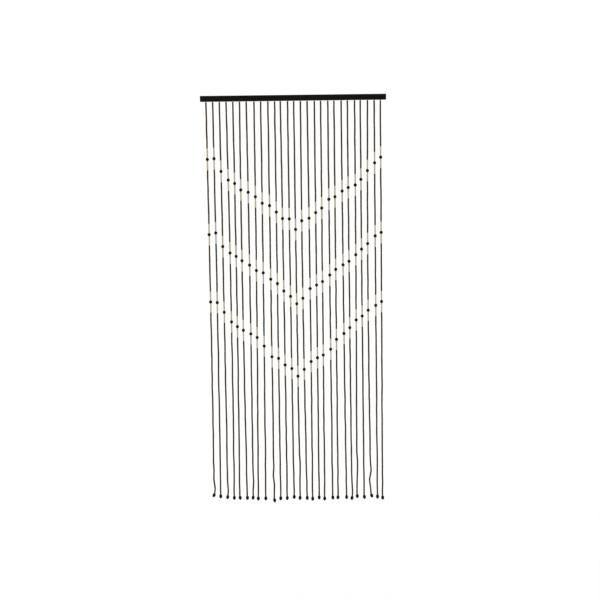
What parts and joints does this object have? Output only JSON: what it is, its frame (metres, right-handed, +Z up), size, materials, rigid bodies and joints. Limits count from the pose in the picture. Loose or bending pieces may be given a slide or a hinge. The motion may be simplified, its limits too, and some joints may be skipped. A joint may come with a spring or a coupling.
{
  "type": "bead curtain with hanging bar",
  "caption": "Door bead curtain: dark wooden bar hung with strings of thin brown tubes, with dark round beads between pale tubes in nested V rows and an oval bead at each foot.",
  "frame": {"origin": "middle of the bar's flat back face, where it lies against the door frame or wall", "axes": "+X along the bar to the viewer's right, +Y out of the bar's back, +Z up; the strands hang along -Z"},
  "size_m": [0.9, 0.0206, 2.0081],
  "materials": {
    "bar_wood": "near-black stained wood, satin",
    "dark_tube": "dark brown stained tube with fine lengthwise grain, satin",
    "pale_tube": "natural pale tube with fine lengthwise grain, satin",
    "dark_bead": "near-black stained turned wood, satin",
    "string": "twisted natural string"
  },
  "bodies": {
    "root": {"bar": "bar_wood", "strand_01": "dark_tube", "end_bead_01": "dark_bead", "strand_02": "dark_tube", "end_bead_02": "dark_bead", "strand_03": "dark_tube", "end_bead_03": "dark_bead", "strand_04": "dark_tube", "end_bead_04": "dark_bead", "strand_05": "dark_tube", "end_bead_05": "dark_bead", "strand_06": "dark_tube", "end_bead_06": "dark_bead", "strand_07": "dark_tube", "end_bead_07": "dark_bead", "strand_08": "dark_tube", "end_bead_08": "dark_bead", "strand_09": "dark_tube", "end_bead_09": "dark_bead", "strand_10": "dark_tube", "end_bead_10": "dark_bead", "strand_11": "dark_tube", "end_bead_11": "dark_bead", "strand_12": "dark_tube", "end_bead_12": "dark_bead", "strand_13": "dark_tube", "end_bead_13": "dark_bead", "strand_14": "dark_tube", "end_bead_14": "dark_bead", "strand_15": "dark_tube", "end_bead_15": "dark_bead", "strand_16": "dark_tube", "end_bead_16": "dark_bead", "strand_17": "dark_tube", "end_bead_17": "dark_bead", "strand_18": "dark_tube", "end_bead_18": "dark_bead", "strand_19": "dark_tube", "end_bead_19": "dark_bead", "strand_20": "dark_tube", "end_bead_20": "dark_bead", "strand_21": "dark_tube", "end_bead_21": "dark_bead", "strand_22": "dark_tube", "end_bead_22": "dark_bead", "strand_23": "dark_tube", "end_bead_23": "dark_bead", "strand_24": "dark_tube", "end_bead_24": "dark_bead", "strand_25": "dark_tube", "end_bead_25": "dark_bead", "strand_26": "dark_tube", "end_bead_26": "dark_bead", "strand_27": "dark_tube", "end_bead_27": "dark_bead"}
  },
  "joints": []
}
